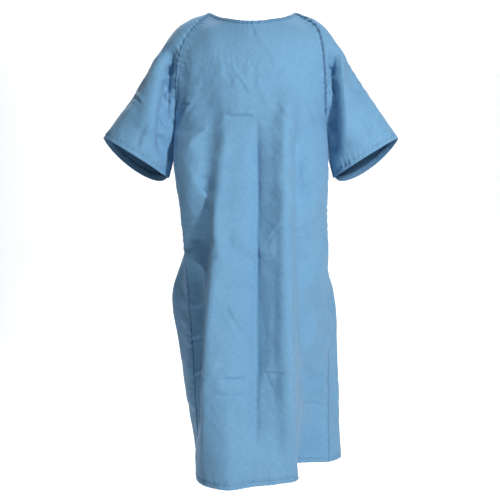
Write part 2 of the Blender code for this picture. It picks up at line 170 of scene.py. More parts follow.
FRONT_CREASES = [
    ([(15, -275), (16, -600), (16, -900), (15, -1160)], 6, -3, "sharp", 0.1),
    ([(-76, -240), (-68, -360), (-74, -520)], 12, 3, "sharp", 0.4),
    ([(-88, -460), (-102, -700), (-119, -930), (-136, -1100)], 10, 4.5, "sharp", 0.2),
    ([(104, -620), (100, -900), (110, -1200)], 12, 3.5, "sharp", 0.3),
    ([(-72, -297), (-30, -298), (14, -297)], 7, 5, "step"),
    ([(-100, -170), (-52, -176), (-18, -222), (3, -258)], 6, 1.5, "step", 0.2),
    ([(-82, -976), (-45, -980), (-8, -978)], 7, 4.2, "step"),
    ([(-98, -1015), (-55, -1020), (-8, -1020)], 7, 3.4, "step"),
    ([(28, -966), (48, -967), (78, -966)], 6, 2.2, "step"),
    ([(34, -966), (50, -1000), (58, -1016)], 5.5, -1.6, "round"),
    ([(140, -1074), (175, -1080), (212, -1088)], 7, 3.4, "step"),
    ([(-66, -790), (-30, -850), (6, -905)], 6.5, 2.6, "step"),
    ([(-4, -560), (10, -600), (14, -640)], 6, 1.6, "step"),
    ([(34, -568), (55, -585), (70, -605)], 6, 1, "step"),
    ([(36, -632), (60, -600), (86, -570)], 7, 0.9, "step"),
    ([(134, -215), (156, -270), (184, -325)], 8, -2.2, "round"),
    ([(64, -262), (90, -300), (120, -350)], 6.5, 1.8, "step"),
    ([(55, -185), (62, -200), (68, -215)], 5, -1.4, "round"),
    ([(-184, -246), (-170, -258), (-154, -262)], 6, 2.9, "step"),
    ([(-180, -290), (-165, -275), (-150, -262)], 6, 2.6, "step"),
    ([(-165, -895), (-148, -890), (-130, -885)], 6, 2.9, "step"),
    ([(-176, -1014), (-148, -992), (-120, -975)], 6, 3.2, "step"),
    ([(4, -66), (6, -80), (7, -96)], 5, -1.8, "round", 0.3),
]
SLEEVE_CREASES = {
    "right": [
        ([(216, -110), (223, -200), (229, -330)], 8, -8, "sharp"),
        ([(325, -222), (305, -238), (288, -262)], 6.5, 2.6, "step"),
        ([(330, -250), (312, -262), (294, -290)], 6.5, -2.2, "round"),
        ([(250, -120), (285, -200), (350, -300)], 10, 2.2, "step"),
        ([(262, -300), (292, -350), (300, -392)], 9, 2.4, "step"),
    ],
    "left": [
        ([(226, -115), (213, -200), (213, -330)], 8, -8, "sharp"),
        ([(238, -100), (248, -210), (254, -350)], 7, 4, "sharp"),
        ([(252, -130), (300, -230), (362, -320)], 10, 2.2, "step"),
        ([(285, -280), (302, -330), (330, -372)], 8, -2.4, "round"),
    ],
}

# Sewing: where the hem is stitched, how high the seams stand, how far they pucker, and the threads' radii
STITCH_UP = 0.0125
RAGLAN_PUCKER, SIDE_PUCKER = 0.0027, 0.0012
RAGLAN_STYLE = {"height": 0.0034, "rise": 0.0023}
SIDE_STYLE = {"height": 0.0015, "rise": 0.0006, "thread": "pale_thread", "look": "side_seam"}
SEAM_BULGE = np.array([0.35, 0.8, 1.0, 1.05, 1.0, 0.8, 0.35])
SEAM_THICK, TURNED_THICK = 0.0016, 0.0008
SEAM_THREAD, HEM_THREAD, TIE_THREAD = 0.0006, 0.0005, 0.00025
BINDING_PROFILE = (0.0008, 0.0024, 0.0034, 0.0036, 0.0035, 0.0032, 0.0028, 0.0029, 0.0031, 0.0024)

# Ties, from where they leave the patch or the knot's middle; a waist tie's drop is a share of its length
WAIST_TIE_BENDS = ((0, 0, 0), (0.002, 0.008, 0.35), (0.006, 0.019, 0.7), (0.012, 0.03, 1))
BOW = [
    (0.0087, 0.0, 0.002), (0.022, 0.006, 0.008), (0.042, 0.014, 0.002), (0.045, 0.02, -0.01),
    (0.034, 0.022, -0.014), (0.016, 0.021, -0.012), (0.013, 0.032, -0.036), (0.022, 0.054, -0.08),
    (0.028, 0.078, -0.13),
]
KNOT_RADIUS, KNOT_HALF = 0.0068, 0.0072

# Woven cloths: the material's name, its light and dark colours, and what differs from the gown's own cloth
PRESSED = {"roughness": (0.66, 0.88)}
WOVEN_LOOKS = {
    "cloth": ("gown_cloth", (0.178, 0.375, 0.585), (0.128, 0.3, 0.5), {}),
    # The inside cloth is the gown's cloth made darker: painted shade for the shadowed inside of the gown.
    "inside": ("gown_cloth_inside_painted_shade", (0.09, 0.205, 0.345), (0.062, 0.16, 0.29), {"sheen": 0.1}),
    # The hem cloth is the gown's cloth made as dark as the inside: painted shade for the turned-in layers.
    "hem": ("hem_cloth", (0.095, 0.215, 0.36), (0.068, 0.17, 0.305), {"roughness": (0.7, 0.9), "sheen": 0.1}),
    "seam": ("seam_cloth", (0.135, 0.3, 0.485), (0.092, 0.23, 0.4), PRESSED),
    "side_seam": ("side_seam_cloth", (0.172, 0.366, 0.572), (0.122, 0.29, 0.485), PRESSED),
    "tape": ("tie_tape", (0.19, 0.395, 0.61), (0.135, 0.31, 0.52), {"pitch": 0.0007}),
}

# The studio's floor and the curve up into its back wall
FLOOR_Z = -1.62
COVE_Y = COVE_RADIUS = 2.4

SIDES = (("right", -1), ("left", 1))


# -------- the surface of the gown
def spline(knots, values, at):
    """Smooth curve through values at knots, read at the places in at."""
    knots, values, at = (np.asarray(a, float) for a in (knots, values, at))
    slopes = np.gradient(values, knots, axis=0)
    i = np.clip(np.searchsorted(knots, at, side="right") - 1, 0, len(knots) - 2)
    width = knots[i + 1] - knots[i]
    t = (at - knots[i]) / width
    shape = (-1,) + (1,) * (values.ndim - 1)
    t, width = t.reshape(shape), width.reshape(shape)
    rise = (2 * t**3 - 3 * t**2 + 1) * values[i] + (3 * t**2 - 2 * t**3) * values[i + 1]
    return rise + width * ((t**3 - 2 * t**2 + t) * slopes[i] + (t**3 - t**2) * slopes[i + 1])


def mirrored(points, side):
    """Points given for the wearer's left side, put on the side asked for."""
    return np.array(points, float) * (side, 1, 1)


def section_rows():
    return np.array([[(x, y, z) for x, y in outline] for z, outline in SECTIONS.items()]) / 1000


def row_steps():
    """Where each control row lies, counted from the neckline (0) to the underarm (1) and on."""
    return np.array([*UPPER_STEPS, *(1 + (UNDERARM[2] - z / 1000) * 3 for z in SECTIONS)])


def raglan_seams(side):
    """The front and the back raglan seam of one side, each down to the underarm."""
    return mirrored([*FRONT_SEAM[side], UNDERARM], side), mirrored([*BACK_SEAM, UNDERARM], side)


def front_net():
    """Control rows of the front panel, with one spare column beyond each side."""
    share = np.linspace(0, 1, LEFT_SEAM - RIGHT_SEAM + 1)
    arch = np.sin(math.pi * share) ** 0.75
    first, last = raglan_seams(-1)[0], raglan_seams(1)[0]
    rows = []
    for k, (drop, bulge) in enumerate(zip(CHEST_DROP, CHEST_BULGE)):
        row = first[k] + share[:, None] * (last[k] - first[k])
        row[:, 1] -= bulge * arch
        row[:, 2] -= drop * arch
        rows.append(np.vstack([2 * row[0] - row[1], row, 2 * row[-1] - row[-2]]))
    lower = section_rows()[:, RIGHT_SEAM - 1 : LEFT_SEAM + 2]
    return np.array(rows + list(lower))


def back_net(side):
    """Control rows of one back panel, from its open edge to the seam, with a spare column."""
    seam = raglan_seams(side)[1]
    rows = []
    for k, (y, z) in enumerate(BACK_EDGE):
        edge = np.array([side * 0.006, y, z])
        row = edge + np.linspace(0, 1, 4)[:, None] * (seam[k] - edge)
        row[1:3, 1] += 0.01 + 0.004 * k
        row[1:3, 2] += 0.006
        rows.append(np.vstack([row, 2 * row[-1] - row[-2]]))
    lower = section_rows()
    lower = lower[:, :5] if side < 0 else lower[:, ::-1][:, :5]
    return np.array(rows + list(lower))


def sleeve_net(side):
    """Control rows of a sleeve, each an arc from the front seam over the top to the back seam."""
    front, back = raglan_seams(side)
    tip, bottom, upper_end = mirrored([SLEEVE_TIP, SLEEVE_BOTTOM, UPPER_END], side)
    top = [*mirrored(TOP_LINE, side), upper_end, (upper_end + tip) / 2, tip]
    seam = [None] * 4 + [front[4], (front[4] + bottom) / 2, bottom]
    rows = []
    for k, degrees in enumerate(ARC_AT_STEPS):
        arc = math.radians(degrees)
        if k < 4:
            middle = (front[k] + back[k]) / 2
            forward = (front[k] - back[k]) / 2 / math.sin(arc)
        else:
            middle = seam[k]
            forward = np.array([0, -SLEEVE_DEPTHS[k - 4], 0])
        upward = (top[k] - middle) / (1 - math.cos(arc))
        centre = top[k] - upward
        angles = np.linspace(arc, -arc, 17)
        rows.append(centre + np.outer(np.cos(angles), upward) + np.outer(np.sin(angles), forward))
    return np.array(rows)


def turned(grid):
    """A grid with its rows and columns exchanged."""
    return grid.transpose(1, 0, 2)


def on_net(net, steps, at_rows, column_count, spare=(0, 0)):
    """A grid of points on a control net, leaving out its spare columns."""
    rows = spline(steps, net, at_rows)
    last = net.shape[1] - 1
    at_columns = np.linspace(spare[0], last - spare[1], column_count + 1)
    return turned(spline(np.arange(last + 1), turned(rows), at_columns))


def two_stretches(last, upper_count, lower_count):
    """Row places: upper_count steps to the underarm, then lower_count to the last row."""
    upper = np.linspace(0, 1, upper_count + 1)
    return np.concatenate([upper, np.linspace(1, last, lower_count + 1)[1:]])


def pin_edge(grid, rows, column, target):
    """Moves one edge of a grid onto a target line over some rows, easing off across the columns."""
    shift = target - grid[rows, column]
    reach = np.linspace(0, 1, grid.shape[1])
    reach = reach if column == 0 else reach[::-1]
    ease = np.clip(1 - 3 * reach, 0, 1) ** 2
    grid[rows] += ease[None, :, None] * shift[:, None, :]


def side_line(side, count):
    """The straight side seam, from the underarm to the hem."""
    x, y, _ = section_rows()[-1, LEFT_SEAM if side > 0 else RIGHT_SEAM]
    top = mirrored([UNDERARM], side)[0]
    return top + np.linspace(0, 1, count)[:, None] * (np.array([x, y, HEM_Z]) - top)


def gown_grids():
    """Every panel of the gown as a grid of points, with neighbours sharing their seam lines."""
    steps = row_steps()
    body_rows = two_stretches(steps[-1], UPPER_ROWS, LOWER_ROWS)
    sleeve_rows = two_stretches(SLEEVE_STEPS[-1], UPPER_ROWS, TUBE_ROWS)
    grids = {"front": on_net(front_net(), steps, body_rows, FRONT_COLUMNS, (1, 1))}
    front = grids["front"]
    upper, lower = slice(0, UPPER_ROWS + 1), slice(UPPER_ROWS, len(body_rows))
    tube = slice(UPPER_ROWS, len(sleeve_rows))
    for word, side in SIDES:
        back = on_net(back_net(side), steps, body_rows, BACK_COLUMNS, (0, 1))
        sleeve = on_net(sleeve_net(side), SLEEVE_STEPS, sleeve_rows, SLEEVE_COLUMNS)
        edge = 0 if side < 0 else FRONT_COLUMNS
        seam = side_line(side, LOWER_ROWS + 1)
        pin_edge(front, lower, edge, seam)
        pin_edge(back, lower, BACK_COLUMNS, seam)
        pin_edge(sleeve, upper, 0, front[upper, edge])
        pin_edge(sleeve, upper, SLEEVE_COLUMNS, back[upper, -1])
        share = np.linspace(0, 1, TUBE_ROWS + 1)[:, None]
        underline = seam[0] + share * (mirrored([SLEEVE_BOTTOM], side)[0] - seam[0])
        pin_edge(sleeve, tube, 0, underline)
        pin_edge(sleeve, tube, SLEEVE_COLUMNS, underline)
        grids[f"{word}_back"] = back
        grids[f"{word}_sleeve"] = sleeve
    return grids


# -------- folds and creases
def unit(vectors):
    return vectors / np.maximum(np.linalg.norm(vectors, axis=-1, keepdims=True), 1e-9)


def normals(grid):
    return unit(np.cross(np.gradient(grid, axis=0), np.gradient(grid, axis=1)))


def outward(grid, name):
    """Unit normals that point out of the gown."""
    normal = normals(grid)
    if name.endswith("sleeve"):
        sign = ((grid[-1] - grid[-1].mean(axis=0)) * normal[-1]).sum()
    else:
        sign = normal[..., 1].mean() * (-1 if name == "front" else 1)
    return normal if sign > 0 else -normal


def distance_to(path, points):
    """Signed distance of points from a path, both seen from the front, and the share along it."""
    path = np.asarray(path, float)
    lengths = travelled(path)
    flat = points[..., [0, 2]]
    best = np.full(flat.shape[:-1], 1e9)
    signed, along_path = np.zeros_like(best), np.zeros_like(best)
    for k in range(len(path) - 1):
        step = path[k + 1] - path[k]
        length = np.linalg.norm(step)
        t = np.clip(((flat - path[k]) @ step) / length**2, 0, 1)
        away = flat - (path[k] + t[..., None] * step)
        reach = np.linalg.norm(away, axis=-1)
        turn = (step[0] * away[..., 1] - step[1] * away[..., 0]) / length
        nearer = reach < best
        best = np.where(nearer, reach, best)
        signed = np.where(nearer, np.where(turn < 0, -reach, reach), signed)
        along_path = np.where(nearer, (lengths[k] + t * length) / lengths[-1], along_path)
    return signed, along_path


def fold(grid, normal, path, width, height, kind, ends, mask):
    """Raises (or with a negative height sinks) the cloth along a path seen from the front."""
    signed, share = distance_to(path, grid)
    u = signed / width
    shapes = {
        "round": np.exp(-(u**2)),
        "sharp": np.exp(-np.abs(u) * 1.6),
        "step": u * np.exp(-(u**2)) * 2.3,
    }
    taper = np.clip(np.minimum(share, 1 - share) / ends, 0, 1)
    taper = taper * taper * (3 - 2 * taper)
    grid += normal * (shapes[kind] * taper * height * mask)[..., None]


def fold_all(grid, normal, folds, side=1, ends=0.25, mask=1.0):
    """Lays a table of folds, with x towards that side of the wearer."""
    for path, width, height, kind, *own_ends in folds:
        path = np.array(path) * (side, 1) / 1000
        own = own_ends[0] if own_ends else ends
        fold(grid, normal, path, width / 1000, height / 1000, kind, own, mask)


def ripple(points, seed, wavelength, waves=14):
    """Smooth irregular waviness from a few plane waves, about -1 to 1."""
    draw = np.random.default_rng(seed)
    total = np.zeros(points.shape[:-1])
    for _ in range(waves):
        direction = draw.normal(size=3)
        direction /= np.linalg.norm(direction)
        length = wavelength * draw.uniform(0.7, 1.6)
        total += np.sin(points @ direction * (2 * math.pi / length) + draw.uniform(0, 2 * math.pi))
    return total / math.sqrt(waves)


def hang_sleeves(grids):
    """The back of each sleeve's opening hangs lower than its front."""
    first = UPPER_ROWS * 0.6
    share = np.linspace(0, 1, SLEEVE_COLUMNS + 1)
    back_part = np.sin(math.pi * np.clip(2 * share - 1, 0, 1)) ** 1.2
    front_part = np.sin(math.pi * np.clip(1 - 2 * share, 0, 1))
    for word, _ in SIDES:
        sleeve = grids[f"{word}_sleeve"]
        down_share = np.clip((np.arange(len(sleeve)) - first) / (len(sleeve) - 1 - first), 0, 1)
        sleeve[..., 2] -= np.outer(down_share**2, back_part * BACK_HANG - front_part * FRONT_LIFT)


def main_folds(grids):
    """The big folds that the cloth hangs in."""
    front = grids["front"]
    fold_all(front, outward(front, "front"), FRONT_FOLDS, 1, 0.16, still_at_seams(front, width=0.02))
    for word, side in SIDES:
        sleeve, back = grids[f"{word}_sleeve"], grids[f"{word}_back"]
        out = outward(sleeve, "sleeve")
        mask = facing_front(out) * still_at_seams(sleeve, width=0.012)
        fold_all(sleeve, out, SLEEVE_FOLDS[word], side, 0.2, mask)
        fold_all(back, outward(back, "back"), BACK_FOLDS, side, 0.2, still_at_seams(back, (-1,), 0.02))


def facing_front(out):
    """1 where the cloth faces the front, down to 0 where it faces sideways or back."""
    return np.clip(-out[..., 1] * 2, 0, 1)


# -------- simulation
def share_seams(panels, under):
    """Gives neighbouring panels the same points, or the same numbers, along their seams."""
    front = panels["front"]
    for word, side in SIDES:
        edge = 0 if side < 0 else -1
        back, sleeve = panels[f"{word}_back"], panels[f"{word}_sleeve"]
        back[under:, -1] = front[under:, edge]
        sleeve[: under + 1, 0] = front[: under + 1, edge]
        sleeve[: under + 1, -1] = back[: under + 1, -1]
        sleeve[under:, -1] = sleeve[under:, 0]


def weld(grids):
    """All the vertices, and one vertex number for every grid point, with seam points shared."""
    points = np.concatenate([grid.reshape(-1, 3) for grid in grids.values()])
    numbers, first = {}, 0
    for name, grid in grids.items():
        count = grid.shape[0] * grid.shape[1]
        numbers[name] = np.arange(first, first + count).reshape(grid.shape[:2])
        first += count
    share_seams(numbers, UPPER_ROWS)
    used = np.unique(np.concatenate([n.ravel() for n in numbers.values()]))
    renumber = np.full(len(points), -1)
    renumber[used] = np.arange(len(used))
    return points[used], {k: renumber[n] for k, n in numbers.items()}


def quads(index):
    a, b, c, d = index[:-1, :-1], index[:-1, 1:], index[1:, 1:], index[1:, :-1]
    return np.stack([a, b, c, d], axis=-1).reshape(-1, 4)


def numbered(rows, columns):
    return np.arange(rows * columns).reshape(rows, columns)


def around(grid):
    """The points or numbers round the rim of a grid, each once."""
    return np.concatenate([grid[0, :-1], grid[:-1, -1], grid[-1, :0:-1], grid[:0:-1, 0]])


def new_mesh(name, points, faces):
    mesh = bpy.data.meshes.new(name)
    mesh.from_pydata(points.tolist(), [], faces if isinstance(faces, list) else faces.tolist())
    return mesh


def goal_strength(points, numbers):
    """How firmly each point of the sheet is held where the frame has it, from 0 to 1."""
    height = points[:, 2]
    held = np.interp(height, [HEM_Z, *HELD_LEVELS], HELD_AT_LEVELS)
    along_arm = np.clip((np.abs(points[:, 0]) - 0.21) / 0.04, 0, 1)
    held = np.where(height > SLEEVE_BOTTOM[2] - 0.01, np.maximum(held, 0.22 * along_arm), held)
    for word, side in SIDES:
        back = numbers[f"{word}_back"]
        held[numbers["front"][:, 0 if side < 0 else -1]] = 1
        held[back[: UPPER_ROWS + 1, -1]] = 1
        held[back[:, 0]] = np.maximum(held[back[:, 0]], 0.2)
    return held


def simulate(points, numbers):
    """Lets the welded gown sag and buckle a little, held at the neck, shoulders and seams."""
    faces = np.concatenate([quads(n) for n in numbers.values()])
    sheet = placed("simulated", new_mesh("simulated", points, faces))
    held = np.round(goal_strength(points, numbers), 2)
    group = sheet.vertex_groups.new(name="held")
    for level in np.unique(held):
        group.add(np.nonzero(held == level)[0].tolist(), float(level), "REPLACE")
    cloth = sheet.modifiers.new("Cloth", "CLOTH")
    for name, value in CLOTH_SETTINGS.items():
        setattr(cloth.settings, name, value)
    cloth.settings.vertex_group_mass = "held"
    cloth.collision_settings.use_collision = False
    cloth.point_cache.frame_start, cloth.point_cache.frame_end = 1, SIM_FRAMES
    for number in range(1, SIM_FRAMES + 1):
        bpy.context.scene.frame_set(number)
    settled = sheet.evaluated_get(bpy.context.evaluated_depsgraph_get()).to_mesh()
    found = np.zeros(len(points) * 3)
    settled.vertices.foreach_get("co", found)
    bpy.data.objects.remove(sheet, do_unlink=True)
    bpy.context.scene.frame_set(1)
    return found.reshape(-1, 3)


def hem_to_level(grids):
    """Brings the settled hem back to the frame's own level, by a little at every height."""
    for name, grid in grids.items():
        if name.endswith("sleeve"):
            continue
        excess = grid[-1, :, 2] - HEM_Z
        reach = np.linspace(0, 1, len(grid))[:, None]
        grid[..., 2] -= excess[None, :] * reach**2


# -------- finer cloth, creases and puckers
def refined(grid):
    """A grid divided more finely, through the same points."""
    last_row, last_column = len(grid) - 1, grid.shape[1] - 1
    rows = np.linspace(0, last_row, last_row * ROW_TIMES + 1)
    return on_net(grid, np.arange(last_row + 1), rows, last_column * COLUMN_TIMES)


def refined_grids(grids):
    """All the panels divided more finely, still sharing their seam lines."""
    fine = {name: refined(grid) for name, grid in grids.items()}
    share_seams(fine, UNDER)
    return fine


def steps_of(grid, axis):
    """Lengths between neighbouring points along the columns (0) or the rows (1)."""
    return np.linalg.norm(np.diff(grid, axis=axis), axis=-1)


def travelled(line):
    return np.concatenate([[0], np.cumsum(steps_of(line, 0))])


def from_edge(grid, column):
    """Distance of each point along its row from the first (0) or last (-1) column."""
    rows = grid if column == 0 else grid[:, ::-1]
    reach = np.concatenate([np.zeros((len(grid), 1)), np.cumsum(steps_of(rows, 1), axis=1)], axis=1)
    return reach if column == 0 else reach[:, ::-1]


def from_row(grid, row):
    """Distance of each point down its column from the first (0) or last (-1) row."""
    return from_edge(turned(grid), row).T


def wave_along(line, wavelength, seed):
    """An uneven wave along a line, as cloth has between the stitches of a seam."""
    lengths = travelled(line)
    draw = np.random.default_rng(seed)
    count = int(lengths[-1] / wavelength * 2) + 4
    knots = np.cumsum(wavelength * draw.uniform(0.6, 1.5, count))
    phase = np.interp(lengths, knots, np.arange(count) * 2 * math.pi)
    return np.sin(phase) * np.interp(lengths, knots, draw.uniform(0.2, 1, count))


def still_at_seams(grid, columns=(0, -1), width=0.014):
    """0 on the seams and 1 a little away from them, so that neighbours keep meeting."""
    still = np.ones(grid.shape[:2])
    for column in columns:
        still *= 1 - np.exp(-((from_edge(grid, column) / width) ** 2))
    return still


def crease_panel(name, grid):
    """The small creases, ripples and gathers of one panel."""
    out = outward(grid, name)
    still = still_at_seams(grid, (-1,) if name.endswith("back") else (0, -1))
    uneven = ripple(grid, 11, 0.16) * 0.0011 + ripple(grid, 12, 0.05) * 0.0003
    grid += out * (uneven * still)[..., None]
    if name == "front":
        fold_all(grid, out, FRONT_CREASES)
        gathers = wave_along(grid[0], 0.012, 5) * np.clip(grid[0, :, 0] / 0.03 + 1.4, 0.2, 1)
        depth = np.exp(-(from_row(grid, 0) / 0.022))
        grid += out * (gathers[None, :] * depth * still * 0.0014)[..., None]
    if name.endswith("sleeve"):
        word = name.split("_")[0]
        fold_all(grid, out, SLEEVE_CREASES[word], dict(SIDES)[word], mask=facing_front(out) * still)
    scallop_hem(grid, out, still, wave_along(grid[-1], 0.0125, 7 + len(name)))


def scallop_hem(grid, out, still, wave):
    """The hem drawn in along its stitches, with small scallops above and below them."""
    depth = from_row(grid, -1)
    at_stitches = np.exp(-(((depth - STITCH_UP) / 0.006) ** 2))
    above = np.exp(-(((depth - 2.2 * STITCH_UP) / 0.012) ** 2))
    edge = np.exp(-((depth / 0.006) ** 2))
    band = 0.0044 * wave[None, :] * (at_stitches + 0.3 * above) + 0.0016 * np.roll(wave, 2)[None, :] * edge
    grid += out * ((band - 0.0018 * at_stitches) * still)[..., None]


def pucker_seam(grid, name, column, rows, wave, height):
    """Puckers in the cloth beside a seam, dying out a few centimetres away."""
    out = outward(grid, name)
    near = np.exp(-(from_edge(grid, column)[rows] / 0.014))
    grid[rows] += out[rows] * (wave[:, None] * near * height)[..., None]


def pucker_seams(grids, word, side):
    """Puckers the cloth beside all the seams of one side, and gives the waves along them."""
    upper, lower = slice(0, UNDER + 1), slice(UNDER, None)
    front, back = ("front", 0 if side < 0 else -1), (f"{word}_back", -1)
    sleeve = f"{word}_sleeve"
    seams = {
        "front": (front, (sleeve, 0), upper, 0.016, 21, RAGLAN_PUCKER),
        "back": (back, (sleeve, -1), upper, 0.016, 24, RAGLAN_PUCKER),
        "side": (front, back, lower, 0.018, 27, SIDE_PUCKER),
    }
    waves = {}
    for seam, ((name, column), _, rows, wavelength, seed, _) in seams.items():
        waves[seam] = wave_along(grids[name][rows, column], wavelength, seed + side)
    for seam, (one, other, rows, _, _, height) in seams.items():
        for name, column in (one, other):
            pucker_seam(grids[name], name, column, rows, waves[seam], height)
    return waves


# -------- meshes from grids
def read_along(values, lengths, places):
    return np.stack([np.interp(places, lengths, values[:, k]) for k in range(3)], axis=1)


def along(line, start, end, count):
    """The stretch of a line from start to end metres along it; an end of 0 or less counts from its end."""
    lengths = travelled(line)
    stop = lengths[-1] + end if end <= 0 else end
    return read_along(line, lengths, np.linspace(start, stop, count))


def across(grid, start, end, count):
    return np.array([along(row, start, end, count) for row in grid])


def down(grid, start, end, count):
    return turned(across(turned(grid), start, end, count))


def agreeing(grid, hint):
    """Unit normals of a grid, on the side that hint points to."""
    out = normals(grid)
    return out if (out * hint).sum() > 0 else -out


def cloth_uv(grid):
    """Places on the flat cloth in metres, for the weave."""
    return np.stack(np.meshgrid(travelled_mean(grid, 1), travelled_mean(grid, 0)), axis=-1)


def travelled_mean(grid, axis):
    return np.concatenate([[0], np.cumsum(steps_of(grid, axis).mean(axis=1 - axis))])


def placed(name, data):
    """A new object holding some data, in the scene."""
    made = bpy.data.objects.new(name, data)
    bpy.context.scene.collection.objects.link(made)
    return made


def mesh_object(name, points, faces, uvs, looks):
    mesh = new_mesh(name, points, faces)
    layer = mesh.uv_layers.new(name="cloth")
    loops = np.zeros(len(mesh.loops), np.int32)
    mesh.loops.foreach_get("vertex_index", loops)
    layer.data.foreach_set("uv", np.asarray(uvs, np.float32)[loops].ravel())
    mesh.shade_smooth()
    mesh.materials.append(looks)
    made = placed(name, mesh)
    return made


def layer_object(name, grid, out, thickness, looks, lift=0.0, inside=None):
    """A closed sheet of cloth on a grid, lifted off it along its outward normals; with inside given, its
    inner faces take that material, a darker copy of the cloth that paints the shade inside the gown.
    """
    thickness = np.broadcast_to(np.asarray(thickness, float), (len(grid),))[:, None, None]
    top = grid + out * (lift + thickness / 2)
    low = grid + out * (lift - thickness / 2)
    rows, columns = grid.shape[:2]
    index = numbered(rows, columns)
    upper, lower = quads(index), quads(index + rows * columns)[:, ::-1]
    ring = around(index)
    after = np.roll(ring, -1)
    wall = np.stack([after, ring, ring + rows * columns, after + rows * columns], axis=1)
    faces = np.concatenate([upper, lower, wall])
    i, j = rows // 2, columns // 2
    turn = np.cross(grid[i, j + 1] - grid[i, j], grid[i + 1, j] - grid[i, j])
    if (turn * out[i, j]).sum() < 0:
        faces = faces[:, ::-1]
    uv = cloth_uv(grid).reshape(-1, 2)
    points = np.concatenate([top.reshape(-1, 3), low.reshape(-1, 3)])
    made = mesh_object(name, points, faces, np.concatenate([uv, uv]), looks)
    # The inner faces take the darker inside material: painted shade, not a different cloth.
    if inside is not None:
        made.data.materials.append(inside)
        chosen = np.zeros(len(faces), np.int32)
        chosen[len(upper) : 2 * len(upper)] = 1
        made.data.polygons.foreach_set("material_index", chosen)
    return made


def one_stitch(length, radius):
    """Points and faces of a short fat thread, round its own axis, with its middle at the origin."""
    sides = 6
    turns = np.arange(sides) * 2 * math.pi / sides
    points = [(-length / 2, 0, 0)]
    for x, r in ((-0.36, 0.8), (0, 1), (0.36, 0.8)):
        points += [(x * length, math.cos(a) * r * radius, math.sin(a) * r * radius) for a in turns]
    points.append((length / 2, 0, 0))
    faces = []
    for k in range(sides):
        m = (k + 1) % sides
        faces += [(0, 1 + m, 1 + k), (13 + k, 13 + m, 19)]
        for ring in (1, 1 + sides):
            faces += [(ring + k, ring + m, ring + sides + k), (ring + m, ring + sides + m, ring + sides + k)]
    return np.array(points), np.array(faces)


def stitches(name, lines, looks, spacing=0.0036, length=0.0026, radius=0.00035):
    """Rows of thread stitches; each line is its points and the outward normals there."""
    local, faces = one_stitch(length, radius)
    all_points, all_faces = [], []
    for line, out in lines:
        lengths = travelled(line)
        at = np.arange(spacing, lengths[-1] - spacing, spacing)
        middle, normal = read_along(line, lengths, at), unit(read_along(out, lengths, at))
        start, end = (read_along(line, lengths, at + length / 2 * way) for way in (-1, 1))
        ahead = unit(end - start)
        axes = np.stack([ahead, np.cross(ahead, normal), normal], axis=1)
        points = middle[:, None] + np.einsum("pk,nkc->npc", local, axes) + normal[:, None] * radius * 0.3
        first = sum(len(p) for p in all_points)
        starts = first + np.arange(len(at)) * len(local)
        all_points.append(points.reshape(-1, 3))
        all_faces.append((faces[None] + starts[:, None, None]).reshape(-1, 3))
    points = np.concatenate(all_points)
    return mesh_object(name, points, np.concatenate(all_faces), points[:, [0, 2]], looks)


# -------- materials
def set_inputs(made, **values):
    """Sets sockets by name, with _ for each space."""
    for socket, value in values.items():
        made.inputs[socket.replace("_", " ")].default_value = value


def node(tree, kind, inputs=(), **settings):
    made = tree.nodes.new(kind)
    for name, value in settings.items():
        setattr(made, name, value)
    set_inputs(made, **dict(inputs))
    return made


def wire(tree, *links):
    """Links of a node tree, each as source node, its output, target node, its input."""
    for source, output, target, socket in links:
        tree.links.new(source.outputs[output], target.inputs[socket])


def shader_of(name):
    """A new material, its node tree and its shader."""
    looks = bpy.data.materials.new(name)
    looks.use_nodes = True
    return looks, looks.node_tree, looks.node_tree.nodes["Principled BSDF"]


def two_colours(tree, dark, light):
    ramp = node(tree, "ShaderNodeValToRGB")
    for element, colour in zip(ramp.color_ramp.elements, (dark, light)):
        element.color = (*colour, 1)
    return ramp


